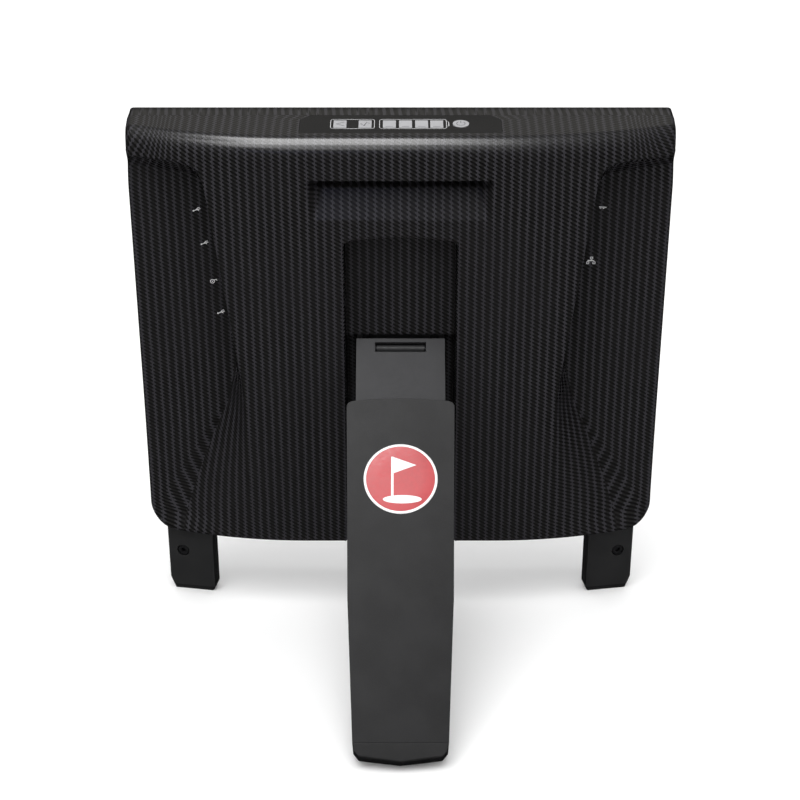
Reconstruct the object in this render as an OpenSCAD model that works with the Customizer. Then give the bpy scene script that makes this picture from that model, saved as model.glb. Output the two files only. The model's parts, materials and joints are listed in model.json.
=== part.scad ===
// Portable radar launch monitor, standing on two screw-held feet and a folding rear leg.
// +X runs to the right seen from behind, -Y is the rear side with the leg, +Z is up.
// The housing is drawn upright in its own frame and then leaned back: there X is its width,
// Y its depth from the rear face (0) to the radome, and Z runs up along it.

/* [Housing] */
// Width of the housing
body_width = 326; // [300:1:340]
// Height of the housing along its rear face
body_height = 274; // [262:1:290]
// Depth of the housing at its middle
body_depth = 50; // [48:1:60]
// Wall thickness of both shells
wall = 2.5; // [2:0.1:3]
// Angle by which the housing leans back
lean_angle = 6; // [4:0.5:8]
// Height of the lower rear edge above the ground
ground_gap = 46.8; // [42:0.2:55]
// Half width of the flat middle of the rear face
crown_flat = 60; // [50:1:70]
// Radius of the curved flanks of the rear face
crown_radius = 225; // [200:5:260]
// Radius of the long upper rear edge
top_round = 12.5; // [8:0.5:16]
// Slope of the top face down to the rear
top_slope = 5; // [0:0.5:6]
// Radius of the upper corners
top_corner = 9; // [6:1:14]
// Radius of the lower corners
bottom_corner = 17; // [10:1:20]

/* [Rear recesses] */
// Half width of the leg channel
channel_half = 34; // [34:0.5:38]
// Height of the top of the leg channel
channel_top = 213; // [205:1:215]
// Depth of the leg channel above the hinge
channel_depth = 13.5; // [13.5:0.25:15]
// Depth of the hinge pocket
pocket_depth = 21; // [20.5:0.25:22]
// Half width of the finger grip
grip_half = 54; // [45:1:60]
// Depth of the side port bays
bay_depth = 24; // [23:0.5:24.5]

/* [Leg] */
// Angle of the open leg from the vertical
leg_angle = 45.5; // [42:0.5:48]
// Height of the hinge axis up the housing
hinge_height = 135.5; // [133:0.5:138]
// Depth of the hinge axis below the rear face
hinge_depth = 7.5; // [7.3:0.1:8]
// Radius of the hinge pin
pin_radius = 1.8; // [1.5:0.1:1.9]
// Width of the upper end of the sliding sleeve
sleeve_width = 65.3; // [64.6:0.1:66.6]
// Width of the lower end of the sliding sleeve
tip_width = 54.4; // [54:0.2:58]
// Width of the inner plate
plate_width = 54.5; // [52:0.1:54.5]
// Length of inner plate left showing above the sleeve
leg_exposed = 35.7; // [35.5:0.1:38]
// Distance the sleeve can slide up the inner plate once the leg is folded
stow_travel = 112; // [60:1:114]

/* [Feet] */
// Distance of each foot's middle from the centre plane
foot_offset = 138.2; // [134:0.2:139]
// Width of each foot
foot_width = 30.2; // [28:0.2:32]
// Angle by which each foot is turned in plan
foot_turn = 11; // [8:0.5:14]

/* [Keypad] */
// Width of the keypad label
label_width = 119; // [100:1:122]
// Depth of the keypad label from front to rear
label_depth = 24; // [23:0.5:26]
// Radius of the power button
button_radius = 4.8; // [4:0.1:5]
// Travel of the power button
button_travel = 0.8; // [0.5:0.1:0.8]

/* [Hidden] */
$fn = 48;
EPS = 0.01;
FAR = 400;
through = 20;

half_width = body_width / 2;
split_y = body_depth - 12;
front_top = body_height + (body_depth - top_round) * tan(top_slope);
floor_edge_round = 3;

// Where the leaned housing stands
hinge_y = hinge_depth * cos(lean_angle) - hinge_height * sin(lean_angle);
hinge_z = ground_gap + hinge_height * cos(lean_angle) + hinge_depth * sin(lean_angle);

// Leg section, measured from the hinge axis along the leg's outward normal
pocket_rise = 6.5;
plate_out = 4;
plate_in = 3;
slide_gap = 0.3;
sleeve_out = plate_out + slide_gap + 2.7;
sleeve_in = plate_in + slide_gap + 2;
leg_length = (hinge_z - sleeve_in * sin(leg_angle)) / cos(leg_angle);
sleeve_length = leg_length - leg_exposed;
foot_cap_length = 9;
plate_top = 5.8;
head_length = 42;
tongue_half = 22;
tongue_end = leg_exposed + 96;
shoulder = leg_exposed - head_length - stow_travel;
knuckle_half = 14.7;
knuckle_radius = 2.9;
knuckle_slot_half = 3.1;
web_half = 1.5;
washer_thickness = 0.4;
taper_break = 126;
break_width = 61.7;

// The housing is placed so that the whole object is centred on the origin
rear_reach = -hinge_y + leg_length * sin(leg_angle) + sleeve_out * cos(leg_angle);
body_y = (rear_reach - body_depth * cos(lean_angle)) / 2;

// Side walls of the raised middle, where the sockets sit
wall_top = [117.2, 251.5];
wall_foot = [99.8, 116];
wall_tilt = atan((wall_top[0] - wall_foot[0]) / (wall_top[1] - wall_foot[1]));
wall_middle = (wall_top + wall_foot) / 2;
socket_y = 15;
panel_depth = 14;
left_usb_places = [46.5, 26.5, -19];
sync_place = 1.5;
dc_place = 49;
ethernet_place = 15.5;

// Layers inside the housing, from rear to front
chassis_y = 27;
chassis_thickness = 2;
chassis_front = chassis_y + chassis_thickness;
main_board_y = 32;
radar_board_y = 40;
board_thickness = 1.6;

// Keypad
key_y = 25.8;
label_thickness = 0.4;
button_x = 35.5;
battery_light_places = [-6.6, 2.9, 12.4, 21.3];
status_light_places = [-35.7, -20.9];
all_light_places = concat(battery_light_places, status_light_places);
light_size = [7.7, 10.2];
keypad_board_z = -5.4 - button_travel;

// Feet
foot_depth = 11;
foot_straight = 40.3;
foot_chamfer = [3.3, 9.2];
foot_round = 4;
foot_reach = 60;
bracket_y = [4.9, 7.4];
counterbore_depth = 3.8;
foot_y = crown_radius - sqrt(pow(crown_radius, 2) - pow(foot_offset - crown_flat, 2)) + 3.9;
sole_thickness = 3;
foot_screw_drop = 19;
foot_screw_shift = 5.4;

cover_screw_places = [[-130, 264], [130, 264], [-130, 9], [130, 9]];
shell_screw_places = [[-46, 211], [46, 211], [-104, 9], [104, 9]];
standoff_places = [for (x = [-118, 0, 118]) for (z = [30, 200]) [x, z]];

// Camera
camera_height = 238;
window_size = [44, 18];

// Points on an arc about c from angle a0 to a1
function arc(c, r, a0, a1, n) =
  [for (i = [0:n]) c + r * [cos(a0 + (a1 - a0) * i / n), sin(a0 + (a1 - a0) * i / n)]];

// Height of the top face at depth y
function top_at(y) = body_height + (y - top_round) * tan(top_slope);

// Depth of the curved rear face at distance x from the middle
function crown_at(x) =
  abs(x) <= crown_flat ? 0 : crown_radius - sqrt(pow(crown_radius, 2) - pow(abs(x) - crown_flat, 2));

// ---- Frames ----

module lean() {
  translate([0, body_y, ground_gap]) rotate([lean_angle, 0, 0]) children();
}

// Leg frame: its origin is on the hinge axis, -Z runs down the leg and -Y out of its rear face
module on_leg() {
  translate([0, body_y + hinge_y, hinge_z]) rotate([-leg_angle, 0, 0]) children();
}

// Frame on the sloping top face, with +Z out of it
module on_top() {
  lean() translate([0, key_y, top_at(key_y)]) rotate([top_slope, 0, 0]) children();
}

// Frame on the side wall of the raised middle, with +X out of it; side is -1 left or 1 right
module on_side(side) {
  mirror([side < 0 ? 1 : 0, 0, 0])
    translate([wall_middle[0], socket_y, wall_middle[1]]) rotate([0, wall_tilt, 0]) children();
}

module at_each(places) {
  for (p = places) translate([p[0], 0, p[1]]) children();
}

// Cylinder from y0 to y1
module rod_y(r, y0, y1) {
  translate([0, y1, 0]) rotate([90, 0, 0]) cylinder(r = r, h = y1 - y0);
}

// Cylinder centred on the origin along X
module rod_x(r, length) {
  translate([-length / 2, 0, 0]) rotate([0, 90, 0]) cylinder(r = r, h = length);
}

// Box with its two opposite corners given
module block(low, high) {
  translate(low) cube(high - low);
}

// Prism of a front-view outline from y0 to y1
module slab(y0, y1) {
  translate([0, y1, 0]) rotate([90, 0, 0]) linear_extrude(y1 - y0) children();
}

// Outline centred on the origin with round corners
module soft_rectangle(width, height, r) {
  polygon(concat(
    arc([width / 2 - r, height / 2 - r], r, 0, 90, 6),
    arc([r - width / 2, height / 2 - r], r, 90, 180, 6),
    arc([r - width / 2, r - height / 2], r, 180, 270, 6),
    arc([width / 2 - r, r - height / 2], r, 270, 360, 6)));
}

// ---- Housing form ----

module plan_profile(inset) {
  r = crown_radius - inset;
  side = half_width - inset;
  reach = acos((side - crown_flat) / r);
  polygon(concat(
    [[side, FAR], [-side, FAR]],
    arc([-crown_flat, crown_radius], r, 180 + reach, 270, 14),
    arc([crown_flat, crown_radius], r, 270, 360 - reach, 14)));
}

module front_profile(inset) {
  side = half_width - inset;
  high = front_top + 1;
  rt = top_corner + 1 - inset;
  rb = bottom_corner - inset;
  polygon(concat(
    arc([side - rt, high - rt - inset], rt, 0, 90, 10),
    arc([rt - side, high - rt - inset], rt, 90, 180, 10),
    arc([rb - side, rb + inset], rb, 180, 270, 12),
    arc([side - rb, rb + inset], rb, 270, 360, 12)));
}

module side_profile(inset) {
  rt = top_round - inset;
  rf = floor_edge_round;
  front = body_depth - inset;
  polygon(concat(
    arc([inset + rf, inset + rf], rf, 180, 270, 6),
    arc([front - rf, inset + rf], rf, 270, 360, 6),
    arc([front - rf, top_at(front - rf) - rf - inset], rf, 0, 90 + top_slope, 6),
    arc([top_round, body_height - top_round], rt, 90 + top_slope, 180, 14)));
}

module housing_form(inset) {
  intersection() {
    linear_extrude(FAR) plan_profile(inset);
    slab(-EPS, FAR) front_profile(inset);
    translate([-FAR / 2, 0, 0]) rotate([90, 0, 90]) linear_extrude(FAR) side_profile(inset);
  }
}

// Outline of a side port bay, grown by the amount given
function bay_outline(grow) = [
  wall_top + grow * [-1, 0.6], [128 - 0.5 * grow, 257 + grow], [151, 261 + grow], [FAR, 262 + grow],
  [FAR, -1], [149 - grow, -1], [137 - grow, 25], [123 - grow, 68], [107 - grow, 103], wall_foot - [grow, 0]];

module port_bays(grow) {
  for (side = [0, 1])
    mirror([side, 0, 0]) slab(-FAR, bay_depth + grow) polygon(bay_outline(grow));
}

// Arched outline of the leg channel
module channel_outline(grow) {
  half = channel_half + grow;
  corner = 5;
  rise = 3;
  span = half - corner;
  arch = (span * span + rise * rise) / (2 * rise);
  bend = asin(span / arch);
  polygon(concat(
    [[half, -FAR], [half, channel_top + grow - rise - corner]],
    arc([span, channel_top + grow - rise - corner], corner, 0, 90 - bend, 5),
    arc([0, channel_top + grow - arch], arch, 90 - bend, 90 + bend, 12),
    arc([-span, channel_top + grow - rise - corner], corner, 90 + bend, 180, 5),
    [[-half, channel_top + grow - rise - corner], [-half, -FAR]]));
}

module leg_channel(grow) {
  slab(-FAR, channel_depth + grow) channel_outline(grow);
  block([-channel_half - grow, -FAR, -FAR],
    [channel_half + grow, pocket_depth + grow, hinge_height + pocket_rise + grow]);
}

// Finger grip: a pocket that slopes in from its lower edge and undercuts the top bar
module finger_grip(grow) {
  depth = 15 + grow;
  half = grip_half + grow;
  translate([-half, 0, 0]) rotate([90, 0, 90]) linear_extrude(2 * half)
    polygon([[-FAR, 223 - grow], [-grow / 3, 223 - grow], [depth, 243 - grow], [depth, 254 + grow],
      [4, 251 + grow], [-grow, 248.5 + grow], [-FAR, 248.5 + grow]]);
}

// Outline of the housing at the split, moved inward
module split_profile(inset) {
  side = half_width - inset;
  high = top_at(split_y) - inset;
  rt = max(1, top_corner + 1 - inset);
  rb = bottom_corner - inset;
  polygon(concat(
    arc([side - rt, high - rt], rt, 0, 90, 6),
    arc([rt - side, high - rt], rt, 90, 180, 6),
    arc([rb - side, rb + inset], rb, 180, 270, 12),
    arc([side - rb, rb + inset], rb, 270, 360, 12)));
}

module gasket_ring() {
  difference() {
    slab(split_y - 0.8, split_y + 0.8) split_profile(0.8);
    slab(0, FAR) split_profile(1.8);
  }
}

// ---- Housing ----

module front_cover() {
  color([0.06, 0.06, 0.065]) lean() difference() {
    union() {
      difference() {
        housing_form(0);
        housing_form(wall);
        block([-FAR, -FAR, -FAR], [FAR, split_y, FAR]);
      }
      intersection() {
        at_each(cover_screw_places) rod_y(4, chassis_front, body_depth - wall + EPS);
        housing_form(wall / 2);
      }
    }
    gasket_ring();
    at_each(cover_screw_places) rod_y(1.5, 0, 42);
    translate([0, 0, camera_height]) {
      slab(body_depth - 1.8, FAR) soft_rectangle(window_size[0], window_size[1], 8);
      slab(0, FAR) soft_rectangle(window_size[0] - 5, window_size[1] - 5, 6);
    }
  }
}

module rear_shell() {
  color([0.10, 0.10, 0.11]) lean() difference() {
    union() {
      difference() {
        housing_form(0);
        difference() {
          housing_form(wall);
          port_bays(wall);
          leg_channel(wall);
          finger_grip(wall);
        }
        block([-FAR, split_y, -FAR], [FAR, FAR, FAR]);
      }
      for (p = shell_screw_places) at_each([p]) rod_y(4, crown_at(abs(p[0]) + 4) + 1, chassis_y);
    }
    rear_openings();
  }
}

// Everything that is cut out of the rear shell
module rear_openings() {
  port_bays(0);
  leg_channel(0);
  finger_grip(0);
  gasket_ring();
  at_each(shell_screw_places) rod_y(1.25, 14, FAR);
  at_each(hinge_screw_places()) rod_y(1.7, 0, FAR);
  for (side = [0, 1]) mirror([side, 0, 0]) foot_slot();
  on_side(-1) block([-through, -panel_depth / 2, -28], [5, panel_depth / 2, 56]);
  on_side(1) block([-through, -panel_depth / 2, 3], [5, panel_depth / 2, 58]);
  translate([0, key_y, top_at(key_y)]) rotate([top_slope, 0, 0]) keypad_openings();
}

module foot_slot() {
  translate([foot_offset, foot_y, 0]) rotate([0, 0, foot_turn])
    block([-6.1, bracket_y[0] - 0.1, -5], [6.1, bracket_y[1] + 0.1, 8]);
}

module housing_gasket() {
  color([0.03, 0.03, 0.03]) lean() gasket_ring();
}

module chassis() {
  color("silver") lean() difference() {
    union() {
      block([-151, chassis_y, 4], [151, chassis_front, 269]);
      for (side = [0, 1]) mirror([side, 0, 0]) block([149, chassis_front, 20], [151, 36, 250]);
    }
    at_each(cover_screw_places) rod_y(1.7, 0, FAR);
    at_each(shell_screw_places) rod_y(1.7, 0, FAR);
    at_each(hinge_screw_places()) rod_y(1.25, 0, FAR);
    for (x = [-62, 62]) block([x - 16, 0, 160], [x + 16, FAR, 196]);
    block([-14, 0, 226], [14, FAR, 250]);
    block([-53, 0, 263.5], [53, FAR, FAR]);
  }
}

// ---- Radar and boards ----

module radar_board() {
  color([0.05, 0.30, 0.18]) lean() difference() {
    block([-126, radar_board_y, 22], [126, radar_board_y + board_thickness, 208]);
    at_each(standoff_places) rod_y(1.6, 0, FAR);
  }
}

module antenna_patches() {
  color("goldenrod") lean() {
    y = radar_board_y + board_thickness;
    for (x = [-104:16:-56]) for (z = [52:18:178]) block([x - 5.5, y, z - 5.5], [x + 5.5, y + 0.3, z + 5.5]);
    for (x = [56:16:104]) for (z = [52:18:178]) block([x - 5.5, y, z - 5.5], [x + 5.5, y + 0.3, z + 5.5]);
    for (z = [60:22:170]) block([-24, y, z - 7], [-10, y + 0.3, z + 7]);
    for (z = [60:22:170]) block([10, y, z - 7], [24, y + 0.3, z + 7]);
  }
}

module radar_shield() {
  color("lightgrey") lean() difference() {
    block([-60, radar_board_y - 6, 146], [60, radar_board_y, 192]);
    block([-59.4, radar_board_y - 5.4, 146.6], [59.4, radar_board_y + 1, 191.4]);
  }
}

module radar_standoffs() {
  color("gold") lean() at_each(standoff_places) difference() {
    translate([0, radar_board_y, 0]) rotate([90, 0, 0])
      cylinder(r = 3.2, h = radar_board_y - chassis_front, $fn = 6);
    rod_y(1.25, 34, FAR);
  }
}

module main_board() {
  color([0.05, 0.22, 0.12]) lean() {
    block([-104, main_board_y, 40], [104, main_board_y + board_thickness, 136]);
    block([-16, main_board_y + board_thickness, 74], [16, main_board_y + 4, 106]);
    for (x = [-78, -46, 44, 76])
      block([x - 9, main_board_y + board_thickness, 80], [x + 9, main_board_y + 2.9, 98]);
    for (z = [50, 60, 116, 126])
      block([-96, main_board_y + board_thickness, z - 3], [-84, main_board_y + 5, z + 3]);
  }
}

module heat_spreader() {
  color("silver") lean() block([-22, chassis_front, 68], [22, main_board_y, 112]);
}

module wifi_antenna() {
  color([0.75, 0.55, 0.20]) lean() difference() {
    block([78, 40, 222], [128, 40.8, 244]);
    block([84, 39, 228], [122, 42, 232]);
    block([84, 39, 236], [122, 42, 240]);
  }
}

module battery_pack() {
  color([0.15, 0.25, 0.45]) lean() {
    for (i = [0:1]) block([-92, 8.4, 22 + 62 * i], [-42, 26.8, 81 + 62 * i]);
    block([-72, 8.4, 80], [-62, 22, 85]);
  }
}

module battery_bracket() {
  color("darkgrey") lean() {
    block([-96, 7.3, 48], [-38.5, 8.3, 58]);
    block([-39.5, 8.3, 48], [-38.5, chassis_y, 58]);
    block([-96, 8.3, 48], [-95, chassis_y, 58]);
    block([-96, 7.3, 108], [-38.5, 8.3, 118]);
    block([-39.5, 8.3, 108], [-38.5, chassis_y, 118]);
    block([-96, 8.3, 108], [-95, chassis_y, 118]);
  }
}

module power_board() {
  color([0.05, 0.22, 0.12]) lean() {
    block([42, 20, 24], [90, 20 + board_thickness, 150]);
    for (z = [40, 62]) block([50, 10, z - 8], [66, 20, z + 8]);
    block([72, 12, 96], [86, 20, 112]);
    for (x = [44, 84]) for (z = [26, 144]) block([x, 20 + board_thickness, z], [x + 4, chassis_y, z + 4]);
  }
}

// ---- Camera ----

module camera_window() {
  color([0.04, 0.04, 0.06, 0.6]) lean() translate([0, 0, camera_height])
    slab(body_depth - 1.8, body_depth - 0.3) soft_rectangle(window_size[0] - 0.2, window_size[1] - 0.2, 7.9);
}

module camera_lens() {
  color("black") lean() translate([0, 0, camera_height]) {
    rod_y(7.5, 37.6, 41);
    rod_y(5.5, 41, 45.5);
    rod_y(4, 45.5, 46.5);
  }
}

module camera_board() {
  color([0.05, 0.22, 0.12]) lean() {
    block([-12, 36, camera_height - 11], [12, 37.6, camera_height + 11]);
    for (x = [-9, 9]) {
      block([x - 1.5, chassis_front, camera_height - 21], [x + 1.5, 37.6, camera_height - 11]);
      block([x - 1.5, chassis_front, 252], [x + 1.5, 31, 258]);
    }
  }
}

// ---- Keypad, drawn on the top face ----

module label_outline(inset) {
  half = label_width / 2 - inset;
  deep = label_depth / 2 - inset;
  polygon([[-half, -deep], [half, -deep], [half, deep - 6], [half - 6, deep],
    [6 - half, deep], [-half, deep - 6]]);
}

module light_prisms(places, clear, z0, z1) {
  w = light_size[0] / 2 + clear;
  d = light_size[1] / 2 + clear;
  for (x = places) block([x - w, -d, z0], [x + w, d, z1]);
}

module keypad_openings() {
  translate([0, 0, -label_thickness]) linear_extrude(5) label_outline(-0.1);
  translate([button_x, 0, -through / 2]) cylinder(r = button_radius + 0.3, h = through);
  light_prisms(all_light_places, 0.1, -9, 5);
}

module keypad_label() {
  color([0.16, 0.16, 0.17]) on_top() difference() {
    translate([0, 0, -label_thickness]) linear_extrude(label_thickness) label_outline(0);
    translate([button_x, 0, -2]) cylinder(r = button_radius + 0.3, h = 4);
    light_prisms(all_light_places, 0.1, -2, 2);
  }
}

module power_button() {
  color([0.62, 0.62, 0.64]) on_top() translate([button_x, 0, 0]) {
    translate([0, 0, -3.6]) cylinder(r = button_radius, h = 3.9);
    translate([0, 0, -3.6]) cylinder(r = button_radius + 1.3, h = 0.7);
    translate([0, 0, -4.5]) cylinder(r = 2, h = 1);
  }
}

module button_dome() {
  color("silver") on_top() translate([button_x, 0, keypad_board_z]) cylinder(r1 = 4, r2 = 2.4, h = 0.8);
}

module keypad_board() {
  color([0.05, 0.22, 0.12]) on_top()
    block([-50, -9, keypad_board_z - board_thickness], [50, 9, keypad_board_z]);
}

module battery_lights() {
  color([0.62, 0.62, 0.64]) on_top() light_prisms(battery_light_places, 0, keypad_board_z, 0);
}

module status_lights() {
  color([0.62, 0.62, 0.64]) on_top() light_prisms(status_light_places, 0, keypad_board_z, 0);
}

// ---- Sockets ----

module usb_hole(z, clear) {
  translate([0, 0, z]) rotate([90, 0, 90]) linear_extrude(2 * through, center = true)
    soft_rectangle(3.4 + clear, 9.2 + clear, 1.6);
}

module left_port_panel() {
  color([0.05, 0.05, 0.055]) lean() on_side(-1) difference() {
    block([-1.6, -panel_depth / 2, -28], [-0.4, panel_depth / 2, 56]);
    for (z = left_usb_places) usb_hole(z, 0.4);
    translate([0, 0, sync_place]) rod_x(3, 20);
  }
}

module right_port_panel() {
  color([0.05, 0.05, 0.055]) lean() on_side(1) difference() {
    block([-1.6, -panel_depth / 2, 3], [-0.4, panel_depth / 2, 58]);
    translate([0, 0, dc_place]) rod_x(4, 20);
    block([-5, -5.5, ethernet_place - 6.5], [5, 5.5, ethernet_place + 6.5]);
  }
}

module usb_sockets() {
  color("silver") lean() on_side(-1) for (z = left_usb_places) difference() {
    translate([-8.8, 0, z]) rotate([90, 0, 90]) linear_extrude(7.2) soft_rectangle(3.4, 9.2, 1.6);
    translate([-8, 0, z]) rotate([90, 0, 90]) linear_extrude(12) soft_rectangle(2.6, 8.4, 1.25);
  }
}

module sync_socket() {
  color([0.08, 0.08, 0.08]) lean() on_side(-1) translate([0, 0, sync_place]) difference() {
    translate([-11.6, 0, 0]) rotate([0, 90, 0]) cylinder(r = 4.5, h = 10);
    translate([-10.6, 0, 0]) rotate([0, 90, 0]) cylinder(r = 1.8, h = 20);
  }
}

module dc_socket() {
  color([0.08, 0.08, 0.08]) lean() on_side(1) translate([0, 0, dc_place]) {
    difference() {
      translate([-12.6, 0, 0]) rotate([0, 90, 0]) cylinder(r = 5, h = 11);
      translate([-10.6, 0, 0]) rotate([0, 90, 0]) cylinder(r = 2.8, h = 20);
    }
    translate([-11.6, 0, 0]) rotate([0, 90, 0]) cylinder(r = 1, h = 8);
  }
}

module ethernet_socket() {
  color("silver") lean() on_side(1) translate([0, 0, ethernet_place]) difference() {
    block([-16.6, -6.5, -8], [-1.6, 6.5, 8]);
    block([-15, -4.5, -5.9], [5, 4.5, 5.9]);
  }
}

module left_port_board() {
  color([0.05, 0.22, 0.12]) lean() on_side(-1)
    block([-18, 4.7, -26], [-3, 4.7 + board_thickness, 54]);
}

module right_port_board() {
  color([0.05, 0.22, 0.12]) lean() on_side(1)
    block([-18, 6.6, 5], [-3, 6.6 + board_thickness, 56]);
}

// ---- Hinge ----

function hinge_screw_places() =
  [for (x = [-21, 21]) for (z = [hinge_height - 17, hinge_height + 2.6]) [x, z]];

module hinge_bracket() {
  color([0.12, 0.12, 0.125]) lean() difference() {
    union() {
      block([-27, pocket_depth - 2.5, hinge_height - 22], [27, pocket_depth, hinge_height + 6.2]);
      block([-knuckle_half, hinge_depth, hinge_height - web_half],
        [knuckle_half, pocket_depth, hinge_height + web_half]);
      translate([0, hinge_depth, hinge_height]) rod_x(knuckle_radius, 2 * knuckle_half);
    }
    translate([0, hinge_depth, hinge_height]) rod_x(pin_radius, 100);
    at_each(hinge_screw_places()) rod_y(1.7, 0, FAR);
    at_each(hinge_screw_places()) rod_y(3, 0, pocket_depth - 1.2);
  }
}

module hinge_pin() {
  color("silver") lean()
    translate([0, hinge_depth, hinge_height]) rod_x(pin_radius, plate_width - 1);
}

module friction_washers() {
  color("goldenrod") lean() translate([0, hinge_depth, hinge_height]) for (side = [-1, 1])
    translate([side * (knuckle_half + washer_thickness / 2), 0, 0]) difference() {
      rod_x(knuckle_radius - 0.2, washer_thickness);
      rod_x(pin_radius, 5);
    }
}

module hinge_screws() {
  color("dimgrey") lean() at_each(hinge_screw_places()) difference() {
    union() {
      rod_y(3, pocket_depth - 2.4, pocket_depth - 1.2);
      rod_y(1.25, pocket_depth - 1.2, chassis_front);
    }
    translate([0, pocket_depth - 1.6, 0]) rotate([90, 0, 0]) cylinder(r = 1, h = 4, $fn = 6);
  }
}

// ---- Leg, drawn folded: -Z down the leg, -Y out of its rear face ----

module inner_plate() {
  half = plate_width / 2;
  window_half = knuckle_half + washer_thickness + 0.3;
  color([0.28, 0.28, 0.29]) on_leg() difference() {
    union() {
      block([-half, -plate_out, -head_length], [half, 0, plate_top]);
      block([-tongue_half, -plate_out, -tongue_end], [tongue_half, plate_in, -knuckle_radius - 2]);
      for (side = [0, 1])
        mirror([side, 0, 0]) block([window_half, -plate_out, -12], [half, plate_in, plate_top - 1.8]);
    }
    block([-window_half, -20, -knuckle_slot_half], [window_half, 20, knuckle_slot_half]);
    block([-window_half, -1, -8.5], [window_half, 20, 20]);
    rod_x(pin_radius + 0.05, 100);
    block([-10, -plate_out + 1.2, -tongue_end + 12], [10, 20, -50]);
  }
}

module slide_stop() {
  color([0.75, 0.75, 0.72]) on_leg()
    block([-9.9, 0, -tongue_end + 12.1], [9.9, plate_in - 0.1, -tongue_end + 22]);
}

// Outline of the sleeve: x across it and y up along it, 0 at the middle of its arched top
module sleeve_outline(inset) {
  half = sleeve_width / 2 - inset;
  corner = 4;
  rise = 1.6;
  span = half - corner;
  arch = (span * span + rise * rise) / (2 * rise);
  bend = asin(span / arch);
  tip = tip_width / 2 - inset;
  polygon(concat(
    [[tip, -sleeve_length + foot_cap_length], [break_width / 2 - inset, -taper_break]],
    arc([span, -rise - corner], corner, 0, 90 - bend, 5),
    arc([0, -arch], arch, 90 - bend, 90 + bend, 12),
    arc([-span, -rise - corner], corner, 90 + bend, 180, 5),
    [[inset - break_width / 2, -taper_break], [-tip, -sleeve_length + foot_cap_length]]));
}

module leg_sleeve() {
  cavity = plate_width / 2 + slide_gap;
  rail = tongue_half + slide_gap;
  back = sleeve_in - 2;
  color([0.22, 0.22, 0.225]) on_leg() translate([0, 0, -leg_exposed]) difference() {
    slab(-sleeve_out, sleeve_in) sleeve_outline(0);
    block([-cavity, -plate_out - slide_gap, shoulder], [cavity, back, 20]);
    block([-rail, -plate_out - slide_gap, -sleeve_length + 18], [rail, back, 20]);
    block([-knuckle_half - 4, 0, -sleeve_length + 18], [knuckle_half + 4, 20, 20]);
  }
}

module slide_guides() {
  color([0.85, 0.85, 0.82]) on_leg() translate([0, 0, -leg_exposed])
    for (side = [0, 1]) mirror([side, 0, 0])
      block([tongue_half + slide_gap, 0.3, shoulder + 0.1], [plate_width / 2 + slide_gap, sleeve_in - 2, -3]);
}

module leg_badge() {
  color([0.80, 0.16, 0.18]) on_leg() translate([0, -sleeve_out, -leg_exposed - 52])
    rotate([90, 0, 0]) cylinder(r = 22, h = 0.5, $fn = 96);
}

module leg_foot() {
  tip = tip_width / 2;
  color([0.04, 0.04, 0.04]) difference() {
    on_leg() slab(-sleeve_out, sleeve_in)
      polygon([[-tip, -leg_length + foot_cap_length], [0.4 - tip, -leg_length + 5],
        [3.5 - tip, -leg_length + 1.2], [0, -leg_length - 2], [tip - 3.5, -leg_length + 1.2],
        [tip - 0.4, -leg_length + 5], [tip, -leg_length + foot_cap_length]]);
    block([-FAR, -FAR, -FAR], [FAR, FAR, 0]);
  }
}

// ---- Feet ----

// Frame of a foot: its rear face is at Y 0; side is -1 left or 1 right
module at_foot(side) {
  mirror([side < 0 ? 1 : 0, 0, 0])
    translate([foot_offset, foot_y, 0]) rotate([0, 0, foot_turn]) children();
}

module foot_outline() {
  half = foot_width / 2;
  low = foot_straight + foot_chamfer[1];
  polygon(concat(
    [[-half, -0.2], [half, -0.2], [half, -foot_straight], [half - foot_chamfer[0], -low],
      [half - foot_chamfer[0], -foot_reach], [foot_round - half, -foot_reach]],
    arc([foot_round - half, foot_round - low], foot_round, 270, 180, 6)));
}

module foot(side) {
  color([0.13, 0.13, 0.135]) difference() {
    lean() at_foot(side) difference() {
      slab(0, foot_depth) foot_outline();
      block([-9.2, bracket_y[0] - 0.1, -34], [9.2, bracket_y[1] + 0.1, 1]);
      translate([foot_screw_shift, 0, -foot_screw_drop]) {
        rod_y(4.1, -1, counterbore_depth);
        rod_y(2.2, -1, 9);
      }
    }
    block([-FAR, -FAR, -FAR], [FAR, FAR, sole_thickness]);
  }
}

module left_foot() {
  foot(-1);
}

module right_foot() {
  foot(1);
}

module foot_brackets() {
  color("silver") lean() for (side = [-1, 1]) at_foot(side) difference() {
    union() {
      block([-9, bracket_y[0], -33], [9, bracket_y[1], -1]);
      block([-6, bracket_y[0], -2], [6, bracket_y[1], 5.2]);
      block([-6, 1, 2.8], [6, bracket_y[1], 5.2]);
    }
    translate([foot_screw_shift, 0, -foot_screw_drop]) rod_y(2, 0, 10);
  }
}

module foot_soles() {
  color([0.03, 0.03, 0.03]) for (side = [-1, 1]) intersection() {
    lean() at_foot(side) slab(0.3, foot_depth - 0.3) foot_outline();
    block([-FAR, -FAR, 0], [FAR, FAR, sole_thickness]);
  }
}

module foot_screws() {
  color("dimgrey") lean() for (side = [-1, 1]) at_foot(side)
    translate([foot_screw_shift, 0, -foot_screw_drop]) difference() {
      union() {
        rod_y(3.5, 0.6, counterbore_depth);
        rod_y(2, counterbore_depth, 8.6);
      }
      translate([0, 2.6, 0]) rotate([90, 0, 0]) cylinder(r = 1.7, h = 4, $fn = 6);
    }
}

// ---- Screws ----

module cover_screws() {
  color("dimgrey") lean() at_each(cover_screw_places) {
    rod_y(3, chassis_y - 2, chassis_y);
    rod_y(1.5, chassis_y, 41);
  }
}

module shell_screws() {
  color("dimgrey") lean() at_each(shell_screw_places) {
    rod_y(3, chassis_front, chassis_front + 2);
    rod_y(1.25, 16, chassis_front);
  }
}

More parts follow.
